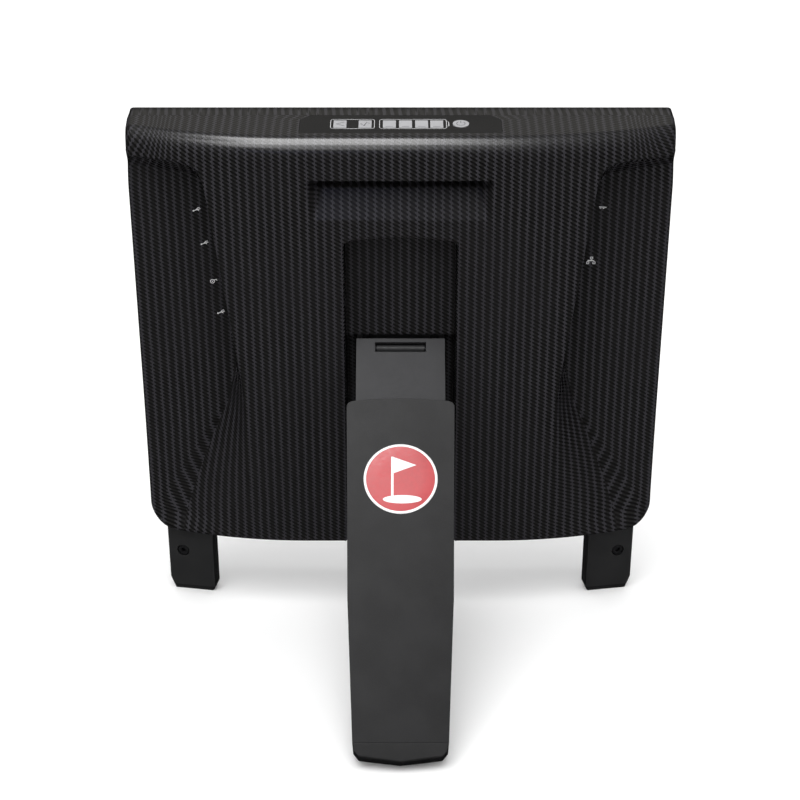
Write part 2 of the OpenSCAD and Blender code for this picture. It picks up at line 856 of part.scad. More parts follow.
front_cover();
rear_shell();
housing_gasket();
chassis();
radar_board();
antenna_patches();
radar_shield();
radar_standoffs();
main_board();
heat_spreader();
wifi_antenna();
battery_pack();
battery_bracket();
power_board();
camera_window();
camera_lens();
camera_board();
keypad_label();
power_button();
button_dome();
keypad_board();
battery_lights();
status_lights();
left_port_panel();
right_port_panel();
usb_sockets();
sync_socket();
dc_socket();
ethernet_socket();
left_port_board();
right_port_board();
hinge_bracket();
hinge_pin();
friction_washers();
hinge_screws();
inner_plate();
slide_stop();
leg_sleeve();
slide_guides();
leg_badge();
leg_foot();
left_foot();
right_foot();
foot_brackets();
foot_soles();
foot_screws();
cover_screws();
shell_screws();
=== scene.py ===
"""Looks of the portable radar launch monitor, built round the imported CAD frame."""

import json
import math

import bmesh
import bpy
import numpy as np
from mathutils import Matrix, Vector, geometry


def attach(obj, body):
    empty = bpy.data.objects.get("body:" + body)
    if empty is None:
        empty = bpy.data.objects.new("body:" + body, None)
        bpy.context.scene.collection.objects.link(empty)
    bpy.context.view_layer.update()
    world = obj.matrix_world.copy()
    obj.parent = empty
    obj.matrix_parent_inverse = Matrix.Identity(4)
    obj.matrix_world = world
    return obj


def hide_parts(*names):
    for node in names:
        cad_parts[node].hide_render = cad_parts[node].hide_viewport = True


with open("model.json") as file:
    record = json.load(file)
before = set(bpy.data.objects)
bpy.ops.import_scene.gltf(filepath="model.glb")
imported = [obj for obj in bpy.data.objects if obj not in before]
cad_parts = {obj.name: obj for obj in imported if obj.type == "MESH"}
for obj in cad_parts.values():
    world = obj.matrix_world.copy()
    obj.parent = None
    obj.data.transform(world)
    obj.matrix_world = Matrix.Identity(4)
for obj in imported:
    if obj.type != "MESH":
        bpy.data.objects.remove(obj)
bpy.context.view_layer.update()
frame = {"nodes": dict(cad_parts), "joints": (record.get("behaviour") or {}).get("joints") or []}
nodes = frame["nodes"]
MM = 0.001

# ---- Frames, in millimetres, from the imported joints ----

LEAN = math.radians(6)
TOP_SLOPE = math.radians(5)
HINGE_DEPTH, HINGE_HEIGHT = 7.5, 135.5
joints = {j["name"]: j for j in frame["joints"]}
hinge = Vector(joints["leg_fold"]["pos_m"])
slide_axis = Vector(joints["leg_slide"]["axis"])
body_turn = Matrix.Rotation(LEAN, 4, "X")
body_origin = hinge - body_turn @ Vector((0, HINGE_DEPTH * MM, HINGE_HEIGHT * MM))
BODY = Matrix.Translation(body_origin) @ body_turn @ Matrix.Scale(MM, 4)
LEG = (Matrix.Translation(hinge) @ Matrix.Rotation(-math.atan2(slide_axis.y, slide_axis.z), 4, "X")
       @ Matrix.Scale(MM, 4))

HALF_WIDTH = 163.0
CROWN_FLAT = 60
BODY_HEIGHT = 274.0
BODY_DEPTH = 50.0
TOP_ROUND = 12.5
SPLIT_Y = 38.0
SEAM = 0.06
KEY_Y = 25.8
SLEEVE_TOP = 35.7
SLEEVE_OUT = 7.0
BADGE_DROP = 52.0


def top_at(y):
    """Height of the top face at depth y, in the housing's own frame."""
    return BODY_HEIGHT + (y - TOP_ROUND) * math.tan(TOP_SLOPE)


TOP = BODY @ Matrix.Translation((0, KEY_Y, top_at(KEY_Y))) @ Matrix.Rotation(TOP_SLOPE, 4, "X")

# ---- Camera, measured from the lower rear edge of the housing ----

LENS_MM = 84.245
LOOK_DOWN = 22.5
CAMERA_PLACE = (-0.00035, -1.084074, 0.548137)
camera = bpy.data.cameras.new("camera")
camera_object = bpy.data.objects.new("camera", camera)
bpy.context.collection.objects.link(camera_object)
camera.sensor_width = 36
camera.lens = LENS_MM
camera.clip_start, camera.clip_end = 0.05, 20
camera_object.location = body_origin + Vector(CAMERA_PLACE)
camera_object.rotation_euler = (math.radians(90 - LOOK_DOWN), 0, 0)
bpy.context.scene.camera = camera_object
bpy.context.scene.view_settings.view_transform = "Standard"

# ---- Materials ----


class Graph:
    """A material's nodes, with short calls for the ones used here."""

    def __init__(self, name):
        self.material = bpy.data.materials.new(name)
        self.material.use_nodes = True
        self.tree = self.material.node_tree
        self.shader = self.tree.nodes["Principled BSDF"]

    def put(self, kind, **settings):
        node = self.tree.nodes.new(kind)
        for key, value in settings.items():
            setattr(node, key, value)
        return node

    def feed(self, socket, value):
        if hasattr(value, "is_output"):
            self.tree.links.new(value, socket)
        elif value is not None:
            socket.default_value = value

    def math(self, operation, a, b=None, c=None):
        node = self.put("ShaderNodeMath", operation=operation)
        for socket, value in zip(node.inputs, (a, b, c)):
            self.feed(socket, value)
        return node.outputs[0]

    def ramp(self, value, low, high, to_low=0.0, to_high=1.0, kind="SMOOTHSTEP"):
        node = self.put("ShaderNodeMapRange", interpolation_type=kind)
        for socket, given in zip(node.inputs, (value, low, high, to_low, to_high)):
            self.feed(socket, given)
        return node.outputs[0]

    def mix(self, share, a, b):
        node = self.put("ShaderNodeMix", data_type="RGBA")
        self.feed(node.inputs[0], share)
        for socket, value in zip((node.inputs[6], node.inputs[7]), (a, b)):
            self.feed(socket, value if hasattr(value, "is_output") else (*value, 1))
        return node.outputs[2]

    def noise(self, scale, detail=3.0, stretch=None, rough=0.55):
        node = self.put("ShaderNodeTexNoise")
        node.inputs["Scale"].default_value = scale
        node.inputs["Detail"].default_value = detail
        node.inputs["Roughness"].default_value = rough
        place = self.put("ShaderNodeTexCoord").outputs["Object"]
        if stretch:
            mapping = self.put("ShaderNodeMapping")
            mapping.inputs["Scale"].default_value = stretch
            self.feed(mapping.inputs["Vector"], place)
            place = mapping.outputs[0]
        self.feed(node.inputs["Vector"], place)
        return node.outputs[0]

    def bump(self, height, distance, strength=1.0):
        node = self.put("ShaderNodeBump")
        node.inputs["Distance"].default_value = distance
        node.inputs["Strength"].default_value = strength
        self.feed(node.inputs["Height"], height)
        return node.outputs[0]

    def finish(self, **sockets):
        for key, value in sockets.items():
            self.feed(self.shader.inputs[key.replace("_", " ")], value)
        return self.material


def shade(colour, share):
    """A colour made darker or lighter."""
    return tuple(min(1.0, max(0.0, c * share)) for c in colour)


def moulded(name, colour, rough=0.5, spread=0.12, grain=900, depth=0.00003, metal=0.0, level=0.5,
            stretch=None, coat=0.0):
    """Plastic, rubber or coated metal with fine grain, blotches and an uneven sheen."""
    g = Graph(name)
    blotch = g.noise(45, 4)
    fine = g.noise(grain, 2, stretch)
    tint = g.mix(g.ramp(blotch, 0.3, 0.7), shade(colour, 1 - spread), shade(colour, 1 + spread))
    tint = g.mix(g.ramp(fine, 0.35, 0.75, 0.0, 0.5), tint, shade(colour, 1 + 2.2 * spread))
    sheen = g.ramp(fine, 0.3, 0.7, rough - 0.07, min(1, rough + 0.09), "LINEAR")
    return g.finish(Base_Color=tint, Roughness=sheen, Metallic=metal, Specular_IOR_Level=level,
                    Coat_Weight=coat, Normal=g.bump(fine, depth))


# Width of a column of the weave and height of a stitch, in millimetres
COLUMN = 5.0
STITCH = 2.5


def woven(name):
    """Twill weave of carbon fibre under a thin clear coat. The map holds millimetres / 100."""
    g = Graph(name)
    place = g.put("ShaderNodeSeparateXYZ")
    g.feed(place.inputs[0], g.put("ShaderNodeUVMap", uv_map="weave").outputs[0])
    wander = g.ramp(g.noise(70, 2), 0.3, 0.7, -0.03, 0.03, "LINEAR")
    column = g.math("MULTIPLY_ADD", place.outputs[0], 100 / COLUMN, wander)
    row = g.math("MULTIPLY_ADD", place.outputs[1], 100 / STITCH, wander)
    # Dark stitches lie askew across their column and bite into the pale one beside it
    slant = g.math("MULTIPLY_ADD", column, 1.15, row)
    stitch = g.ramp(g.math("PINGPONG", slant, 0.5), 0.16, 0.34)
    width = g.math("MULTIPLY_ADD", stitch, -0.20, 0.10)
    across_column = g.math("ADD", g.math("PINGPONG", column, 0.5), width)
    pale = g.ramp(across_column, 0.10, 0.22, 1.0, 0.0)
    fibre = g.noise(2600, 2, (1.0, 1.0, 0.12))
    warp = g.mix(g.ramp(fibre, 0.3, 0.7), (0.025, 0.0242, 0.0278), (0.0375, 0.0363, 0.042))
    weft = g.mix(stitch, (0.0036, 0.0034, 0.0034), (0.0134, 0.0128, 0.0126))
    colour = g.mix(pale, weft, warp)
    blotch = g.noise(14, 3)
    colour = g.mix(g.ramp(blotch, 0.35, 0.7, 0.0, 0.25), colour, (0.013, 0.012, 0.0135))
    relief = g.math("MULTIPLY_ADD", pale, 0.5, g.math("MULTIPLY", stitch, 0.4))
    return g.finish(Base_Color=colour, Roughness=g.ramp(pale, 0, 1, 0.5, 0.4, "LINEAR"), Specular_IOR_Level=0.15,
                    Coat_Weight=1.0, Coat_Roughness=0.2, Coat_IOR=1.4, Normal=g.bump(relief, 0.0002, 0.6))


def board(name):
    """Solder mask with pale traces and pads."""
    g = Graph(name)
    cells = g.put("ShaderNodeTexVoronoi", distance="MANHATTAN", feature="DISTANCE_TO_EDGE")
    cells.inputs["Scale"].default_value = 260
    g.feed(cells.inputs["Vector"], g.put("ShaderNodeTexCoord").outputs["Object"])
    trace = g.ramp(cells.outputs["Distance"], 0.02, 0.06)
    tint = g.mix(trace, (0.05, 0.22, 0.11), (0.012, 0.085, 0.04))
    return g.finish(Base_Color=tint, Roughness=g.ramp(trace, 0, 1, 0.32, 0.45, "LINEAR"),
                    Normal=g.bump(trace, 0.00003))


def brushed(name, colour, rough=0.32, stretch=(1.0, 60.0, 60.0), spread=0.1):
    """Bare metal with fine parallel scratches."""
    g = Graph(name)
    hair = g.noise(35, 3, stretch)
    tint = g.mix(g.ramp(hair, 0.3, 0.7), shade(colour, 1 - spread), shade(colour, 1 + spread))
    return g.finish(Base_Color=tint, Metallic=1.0, Normal=g.bump(hair, 0.00003),
                    Roughness=g.ramp(hair, 0.3, 0.7, rough - 0.08, rough + 0.1, "LINEAR"))


carbon = woven("carbon_weave")
radome = moulded("radome_satin", (0.016, 0.016, 0.018), 0.42, 0.15, 1500, 0.00002, level=0.3)
plate_metal = moulded("plate_satin", (0.0245, 0.0245, 0.0262), 0.42, 0.08, 1400, 0.000015, 0.15, 0.17)
powder = moulded("sleeve_powder_coat", (0.0112, 0.0112, 0.0118), 0.37, 0.2, 1250, 0.00004, 0.0, 0.15)
foot_plastic = moulded("foot_moulded", (0.017, 0.017, 0.0177), 0.42, 0.14, 1300, 0.00003, level=0.5)
black_plastic = moulded("black_moulded", (0.014, 0.014, 0.015), 0.5, 0.15, 1100, 0.00003)
rubber = moulded("rubber", (0.010, 0.010, 0.0105), 0.72, 0.2, 700, 0.00005, level=0.3)
tip_rubber = moulded("tip_rubber", (0.0125, 0.0125, 0.013), 0.6, 0.16, 800, 0.00005, level=0.25)
film = moulded("keypad_film", (0.017, 0.0165, 0.016), 0.5, 0.06, 1800, 0.00001, level=0.12)
diffuser = moulded("frosted_diffuser", (0.33, 0.33, 0.34), 0.5, 0.05, 900, 0.00001, level=0.3)
ink_dark = moulded("dark_ink", (0.055, 0.055, 0.058), 0.5, 0.1, 900, 0.00001, level=0.2)
ink_light = moulded("light_ink", (0.52, 0.52, 0.53), 0.5, 0.06, 900, 0.00001, level=0.2)
enamel_red = moulded("red_enamel", (0.44, 0.050, 0.056), 0.36, 0.07, 500, 0.000006, level=0.35)
enamel_white = moulded("white_enamel", (0.83, 0.82, 0.83), 0.4, 0.03, 500, 0.000006, level=0.3)
oxide = moulded("black_oxide_screw", (0.028, 0.028, 0.030), 0.34, 0.2, 900, 0.00002, 0.7)
acetal = moulded("acetal", (0.62, 0.62, 0.59), 0.4, 0.04, 300, 0.00001)
wrap = moulded("battery_film", (0.03, 0.08, 0.22), 0.3, 0.1, 120, 0.00004)
barrel = moulded("lens_barrel", (0.008, 0.008, 0.008), 0.45, 0.2, 900, 0.00002)
aluminium = brushed("brushed_aluminium", (0.62, 0.63, 0.64))
tinned = brushed("tinned_steel", (0.55, 0.55, 0.56), 0.28)
steel = brushed("ground_steel", (0.42, 0.42, 0.43), 0.26)
gold = brushed("plated_copper", (0.78, 0.55, 0.22), 0.3)
mask = board("solder_mask")
glass_graph = Graph("coated_glass")
glass_smear = glass_graph.noise(60, 3)
glass = glass_graph.finish(
    Base_Color=glass_graph.mix(glass_smear, (0.008, 0.008, 0.014), (0.016, 0.014, 0.03)),
    Roughness=glass_graph.ramp(glass_smear, 0.3, 0.7, 0.03, 0.09, "LINEAR"), Coat_Weight=0.6)

# ---- Mesh helpers ----


def new_piece(name, points, faces, material, body, slot, matrix=BODY, smooth=35, node=None):
    """A mesh piece from points in millimetres in the given frame."""
    mesh = bpy.data.meshes.new(name)
    mesh.from_pydata([tuple(p) for p in points], [], faces)
    mesh.transform(matrix)
    mesh.materials.append(material)
    mesh.update()
    mesh.validate()
    piece = bpy.data.objects.new(name, mesh)
    bpy.context.collection.objects.link(piece)
    if smooth:
        mesh.polygons.foreach_set("use_smooth", [True] * len(mesh.polygons))
        mesh.set_sharp_from_angle(angle=math.radians(smooth))
    face_outward(piece)
    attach(piece, body)
    if node:
        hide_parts(node)
    return piece


def face_outward(piece):
    """Turns all the faces of a closed mesh outward."""
    work = bmesh.new()
    work.from_mesh(piece.data)
    bmesh.ops.recalc_face_normals(work, faces=work.faces)
    work.to_mesh(piece.data)
    work.free()


def merged(parts):
    """Points and faces of several parts in one list."""
    points, faces = [], []
    for part_points, part_faces in parts:
        start = len(points)
        points += list(part_points)
        faces += [tuple(start + k for k in f) for f in part_faces]
    return points, faces


def lathe(profile, count=96):
    """Round solid about the local Y axis; profile holds (radius, y) from one pole to the other."""
    points, faces, rings = [], [], []
    for r, y in profile:
        if r < 1e-6:
            rings.append([len(points)])
            points.append((0, y, 0))
            continue
        rings.append(list(range(len(points), len(points) + count)))
        for i in range(count):
            a = 2 * math.pi * i / count
            points.append((r * math.cos(a), y, r * math.sin(a)))
    for low, high in zip(rings, rings[1:]):
        for i in range(count):
            k = (i + 1) % count
            quad = (low[i % len(low)], low[k % len(low)], high[k % len(high)], high[i % len(high)])
            faces.append(tuple(dict.fromkeys(quad)))
    return points, faces


def tablet(outline, y0, y1, edge=0.12):
    """Flat tablet of an (x, z) outline from y0 up to y1, with a small chamfer at y1."""
    outline = np.array(outline, float)
    middle = outline.mean(0)
    reach = np.abs(outline - middle).max()
    inner = middle + (outline - middle) * (1 - edge / reach)
    n = len(outline)
    slope = math.copysign(min(edge, abs(y1 - y0) / 2), y0 - y1)
    points = [(x, y0, z) for x, z in outline] + [(x, y1 + slope, z) for x, z in outline]
    points += [(x, y1, z) for x, z in inner]
    faces = [(i, (i + 1) % n, n + (i + 1) % n, n + i) for i in range(n)]
    faces += [(n + i, n + (i + 1) % n, 2 * n + (i + 1) % n, 2 * n + i) for i in range(n)]
    return points, faces + [tuple(range(2 * n, 3 * n)), tuple(reversed(range(n)))]


def tube(path, radius, closed=False, sides=6, squeeze=1.0):
    """Thin raised line that follows the path of (x, y, z) points; squeeze flattens it along y."""
    path = [Vector(p) for p in path]
    n = len(path)
    points, faces = [], []
    for i, p in enumerate(path):
        before = path[i - 1] if closed or i else p
        after = path[(i + 1) % n] if closed or i < n - 1 else p
        along = (after - before).normalized()
        first = (p - before).normalized() if (p - before).length > 1e-9 else along
        side = along.cross(Vector((0, 1, 0))).normalized()
        stretch = 1 / max(0.4, first.dot(along))
        for k in range(sides):
            a = 2 * math.pi * k / sides
            points.append(p + side * (radius * stretch * math.cos(a))
                          + Vector((0, squeeze * radius * math.sin(a), 0)))
    for i in range(n if closed else n - 1):
        low, high = i * sides, ((i + 1) % n) * sides
        faces += [(low + k, low + (k + 1) % sides, high + (k + 1) % sides, high + k) for k in range(sides)]
    if not closed:
        faces += [tuple(range(sides)), tuple(reversed(range((n - 1) * sides, n * sides)))]
    return points, faces


def arc(centre, r, a0, a1, n=12):
    """Points on an arc, with the angles in degrees."""
    a = np.radians(np.linspace(a0, a1, n + 1))
    return [(centre[0] + r * math.cos(t), centre[1] + r * math.sin(t)) for t in a]


def soft_rectangle(x0, x1, z0, z1, r, n=6):
    """Outline of a rectangle with round corners."""
    return (arc((x1 - r, z1 - r), r, 0, 90, n) + arc((x0 + r, z1 - r), r, 90, 180, n)
            + arc((x0 + r, z0 + r), r, 180, 270, n) + arc((x1 - r, z0 + r), r, 270, 360, n))


# ---- Rear face of the housing as a height field: depth for each place across and up ----


def smooth_step(t):
    """Eases from 0 to 1."""
    t = np.clip(t, 0, 1)
    return t * t * (3 - 2 * t)


def crown_radius(v):
    """Radius of the curved flanks on each side of the flat middle."""
    return np.interp(v, [0, 250], [285, 337])


def crown(x, v):
    """Depth of the crowned face before anything is cut into it."""
    r, out = crown_radius(v), np.maximum(np.abs(x) - CROWN_FLAT, 0)
    return r - np.sqrt(r * r - out * out)


def crown_length(x, v):
    """Distance over the crowned face from its middle to x."""
    r, out = crown_radius(v), np.maximum(np.abs(x) - CROWN_FLAT, 0)
    return np.minimum(np.abs(x), CROWN_FLAT) + r * np.arcsin(out / r)


def wall_edge(v):
    """Distance from the middle at which a side bay starts."""
    return np.interp(v, [0, 102.6, 251.5, 300], [96.9, 96.9, 117.3, 117.3])


def wall_foot(v):
    """Distance at which the bay's wall meets its floor."""
    return np.interp(v, [0, 12, 19.2, 40.7, 69.8, 90.2, 120.2, 130, 251.5, 300],
                     [141.5, 139.5, 137.2, 129.8, 118.8, 109.6, 102.6, 102.1, 118.6, 118.6])


def fold_line(v):
    """Outer end of the shallow dip beside the wall's foot."""
    fold = np.interp(v, [0, 12, 32, 91, 130, 260], [143.5, 146, 147, 111, 113, 134])
    return np.maximum(fold, wall_foot(v) + 2)


def ceiling_low(x):
    """Height at which a bay's floor starts to rise to the top bar."""
    return np.interp(x, [117.3, 119, 122.5, 132.6, 143, 152, 163], [238, 239.5, 244.4, 246.3, 248.2, 250.1, 251.5])


def ceiling_high(x):
    """Height at which it meets the top bar."""
    return np.interp(x, [117.3, 118.5, 120.2, 123.5, 127.5, 134, 141, 163],
                     [249.3, 252.3, 254.9, 256.9, 258.1, 259, 259.3, 259.4])


BAY_DEPTH = 24.0
CHANNEL = (33.4, 34.2)
CHANNEL_DEPTH, POCKET_DEPTH, POCKET_TOP = 13.5, 21.0, 142.0


def channel_top(x):
    """Arched upper end of the leg channel."""
    x = np.minimum(np.abs(x), 34.2)
    corner = np.maximum(x - 29.2, 0)
    return 213.4 - 3 * (x / 34.2) ** 2 - (5 - np.sqrt(np.maximum(25 - corner ** 2, 0)))


def grip_floor_edge(v):
    """Half width of the finger grip's floor."""
    return np.interp(v, [224, 240, 249], [51, 48, 47.5])


def grip_edge(v):
    """Half width of the finger grip at the surface."""
    return np.interp(v, [224, 249], [53.2, 55.1])


def bay_floor(x, v):
    """Depth of a side bay's floor."""
    c = crown(x, v)
    ease = np.interp(v, [2.6, 12, 30, 60, 91], [0, 0.42, 0.70, 0.88, 1])
    foot, fold = wall_foot(v), fold_line(v)
    dip = np.interp(v, [2.6, 12, 40, 85, 95], [0, 1.2, 1.8, 1.0, 0])
    return c + (BAY_DEPTH - c) * ease + dip * np.clip(1 - (x - foot) / (fold - foot), 0, 1)


def sharp_depth(x, v):
    """Depth of the rear face with its recesses, before its edges are rounded."""
    x = np.abs(x)
    c = crown(x, v)
    edge, foot = wall_edge(v), wall_foot(v)
    share = np.clip((x - edge) / (foot - edge), 0, 1)
    power = np.interp(v, [30, 100], [1.22, 1.0])
    ramp = c + (bay_floor(foot, v) - crown(foot, v)) * share ** power
    bay = np.where(x > foot, bay_floor(x, v), ramp)
    low, high = ceiling_low(x), ceiling_high(x)
    bay = bay + (c - bay) * np.clip((v - low) / (high - low), 0, 1)
    depth = np.where(x > edge, bay, c)
    side = np.clip((CHANNEL[1] - x) / (CHANNEL[1] - CHANNEL[0]), 0, 1)
    over = np.clip((channel_top(x) - v) / 0.8, 0, 1)
    pocket = np.clip((POCKET_TOP + 0.4 - v) / 0.8, 0, 1)
    channel = CHANNEL_DEPTH + (POCKET_DEPTH - CHANNEL_DEPTH) * pocket
    depth = np.maximum(depth, channel * np.minimum(side, over))
    e0, e1 = grip_floor_edge(v), grip_edge(v)
    hollow = np.interp(v, [224.3, 242.4, 243.4, 248.1], [0, 9.7, 14.6, 15])
    over = np.clip((248.9 - v) / 0.8, 0, 1)
    return np.maximum(depth, hollow * np.clip((e1 - x) / (e1 - e0), 0, 1) * over)


def depth_at(x, v):
    """Depth of the rear face with every edge rounded over about a millimetre."""
    total = 0
    offsets = [(0, 0)] + [(r * math.cos(a), r * math.sin(a)) for r in (0.3, 0.6)
                          for a in np.arange(8) * math.pi / 4]
    for dx, dv in offsets:
        total = total + sharp_depth(np.maximum(np.abs(x) + dx, 0), v + dv)
    return total / len(offsets)


# ---- Rear shell skin ----

EDGE_INSET = 1.4
CORNER_INSET = 3.6
CORNER = (146.0, 17.0)
CORNER_TOP_X = 160.0
LABEL_X = 59.65
LABEL_CUT = 6.0
REAR_TOP = 261.5
SIDE_DRAFT = 0.0062


def side_limit(v):
    """Distance at which the rear face ends and the rounded side begins."""
    low = CORNER[0] + np.sqrt(np.maximum((CORNER[1] - EDGE_INSET) ** 2 - (CORNER[1] - v) ** 2, 0))
    inset = EDGE_INSET + (CORNER_INSET - EDGE_INSET) * smooth_step((v - 247) / 14)
    return np.where(v < CORNER[1], low, HALF_WIDTH - inset)


def spread(width, count, start=0.7, end=0.7):
    """Shares from 0 to 1 for one span, with an extra line close to each end where asked."""
    shares = list(np.linspace(0, 1, count + 1))
    if start:
        shares += [0.5 * start / width, start / width]
    if end:
        shares += [1 - end / width, 1 - 0.5 * end / width]
    return sorted(set(round(s, 6) for s in shares))


def chained(spans):
    """Key numbers plus shares of every span, in one list."""
    out = []
    for k, shares in enumerate(spans):
        out += [k + s for s in shares[:-1]]
    return np.array(out + [len(spans)], float)


across_half = chained([
    spread(33.4, 12, 0), [0, 0.25, 0.5, 0.75, 1], spread(14, 5), [0, 0.08, 0.2, 0.4, 0.6, 0.8, 0.92, 1],
    spread(5, 2), spread(45, 18), [0, 0.05, 0.12, 0.25, 0.38, 0.5, 0.62, 0.75, 0.9, 0.96, 1],
    spread(16, 8, 0.7, 0.7), spread(30, 12, 0.7, 1.2)])
across = np.concatenate([-across_half[:0:-1], across_half])
up = chained([
    spread(9.4, 5, 0.5, 0), spread(130, 64), [0, 0.5, 1], spread(64, 30), [0, 0.33, 0.66, 1], spread(11, 5),
    [0, 0.25, 0.5, 0.75, 1], spread(12, 6), [0, 0.07, 0.13, 0.2, 0.27, 0.34, 0.45, 0.6, 0.8, 1],
    [0, 0.33, 0.66, 1], spread(6, 4), spread(6.5, 5)])


def column_x(a, v):
    """Distance from the middle of each column line at height v."""
    zero = np.zeros_like(v)
    keys = np.stack([zero, zero + CHANNEL[0], zero + CHANNEL[1], grip_floor_edge(v), grip_edge(v), zero + LABEL_X,
                     wall_edge(v), wall_foot(v), fold_line(v), side_limit(v)])
    k = np.clip(np.floor(a).astype(int), 0, 8)
    pick = np.take_along_axis
    return (pick(keys, k[None], 0) + (a - k) * (pick(keys, k[None] + 1, 0) - pick(keys, k[None], 0)))[0]


def row_v(b, x):
    """Height of each row line at distance x."""
    zero = np.zeros_like(x)
    low, high = ceiling_low(x), ceiling_high(x)
    top = channel_top(x)
    inner = [zero + EDGE_INSET, zero + 12, zero + 141.6, zero + 142.4, top - 0.8, top, zero + 224.3, zero + 226,
             zero + 241.6, zero + 248.1, zero + 248.9, zero + 255, zero + REAR_TOP]
    outer = [zero + EDGE_INSET, zero + 12, zero + 141.6, zero + 142.4, top - 0.8, top, zero + 222, zero + 225,
             low, low + 0.35 * (high - low), low + 0.5 * (high - low), high, zero + REAR_TOP]
    share = np.clip((x - 60) / 50, 0, 1)
    keys = np.stack(inner) * (1 - share) + np.stack(outer) * share
    k = np.clip(np.floor(b).astype(int), 0, 11)
    pick = np.take_along_axis
    return (pick(keys, k[None], 0) + (b - k) * (pick(keys, k[None] + 1, 0) - pick(keys, k[None], 0)))[0]


A, B = np.meshgrid(np.abs(across), up, indexing="ij")
sign = np.sign(across)[:, None]
X = column_x(A, np.full_like(A, 150.0))
for _ in range(8):
    V = row_v(B, X)
    X = column_x(A, V)
Y = depth_at(X, V)

# Rounded upper edge, then the top face as far as the split between the two shells
turn = np.radians(np.linspace(0, 85, 11))[1:]
edge_x, crest = X[:, -1], crown(X[:, -1], REAR_TOP)
limit = side_limit(np.array([REAR_TOP]))[0]
narrow = np.linspace(0, 1, len(turn)) ** 1.3
outer_share = np.clip((edge_x - 134) / (limit - 134), 0, 1)
rows_x, rows_y, rows_v = [X], [Y], [V]
for t, pull in zip(turn, narrow):
    x = edge_x - pull * outer_share * (limit - CORNER_TOP_X)
    rows_x.append(x[:, None])
    rows_y.append((crest + TOP_ROUND * (1 - math.cos(t)))[:, None])
    rise = crest * math.tan(TOP_SLOPE) * smooth_step(np.array(t / turn[-1]))
    rows_v.append((REAR_TOP + TOP_ROUND * math.sin(t) + rise)[:, None])
start_y = rows_y[-1][:, 0]
top_x = rows_x[-1][:, 0]
LABEL_Y = (KEY_Y - 12.1, KEY_Y + 12.05)
reach = (SPLIT_Y - start_y) / (SPLIT_Y - start_y.min())
top_keys = np.stack([start_y, start_y + (LABEL_Y[0] - start_y.min()) * reach,
                     np.full_like(start_y, LABEL_Y[1]), np.full_like(start_y, SPLIT_Y - SEAM)])
top_rows = np.concatenate([np.linspace(0, 1, 3)[1:], 1 + np.linspace(0, 1, 13)[1:], [3]])
label_columns = np.abs(across) <= 5 + 1e-6
for b in top_rows:
    k = min(int(b), 2)
    y = top_keys[k] + (b - k) * (top_keys[k + 1] - top_keys[k])
    cut = np.clip(y - (LABEL_Y[1] - LABEL_CUT), 0, LABEL_CUT) * np.clip((SPLIT_Y - y) / 0.1, 0, 1)
    near = np.clip((top_x - 40) / (LABEL_X - 40), 0, 1) * np.clip((80 - top_x) / 20, 0, 1)
    rows_x.append((top_x - cut * near)[:, None])
    rows_y.append(y[:, None])
    rows_v.append((BODY_HEIGHT + (y - TOP_ROUND) * math.tan(TOP_SLOPE))[:, None])
rear_rows = V.shape[1]
X, Y, V = (np.concatenate(r, 1) for r in (rows_x, rows_y, rows_v))


def draft(x, y, v):
    """Share of the half width left by the draft of the two upper side faces."""
    height, side = smooth_step((v - 236) / 20), smooth_step((abs(x) - 130) / 25)
    return 1 - SIDE_DRAFT * height * np.clip((SPLIT_Y - y) / 20, 0, 1) * side


grid = np.stack([X * draft(X, Y, V) * sign, Y, V], -1)
columns, rows = X.shape


def weave_u(x, v, a):
    """Place across the weave in millimetres; a is the column number of the face that asks."""
    v_rear = np.minimum(v, REAR_TOP)
    plain = crown_length(x, v_rear)
    edge, foot = wall_edge(v_rear), wall_foot(v_rear)
    v_low = np.clip(v_rear, 10, 102)
    width = 0.94 * (wall_foot(v_low) - wall_edge(v_low)) + 11 * smooth_step((v_low - 16) / 87)
    share = np.clip((x - edge) / (foot - edge), 0, 1)
    ramp = crown_length(edge, v_rear) + width * share
    drop = np.maximum(91 - (x - 110) * 1.553 - np.maximum(v, 12), 0)
    outer = x + 4 + 0.24 * drop * np.clip((162 - x) / 15, 0, 1)
    over_bar = np.clip((v - ceiling_high(x) + 2) / 2, 0, 1)
    bay = np.where(a < 7, ramp, outer)
    return np.where((a < 6) | (v > 259.5), plain, bay * (1 - over_bar) + plain * over_bar)


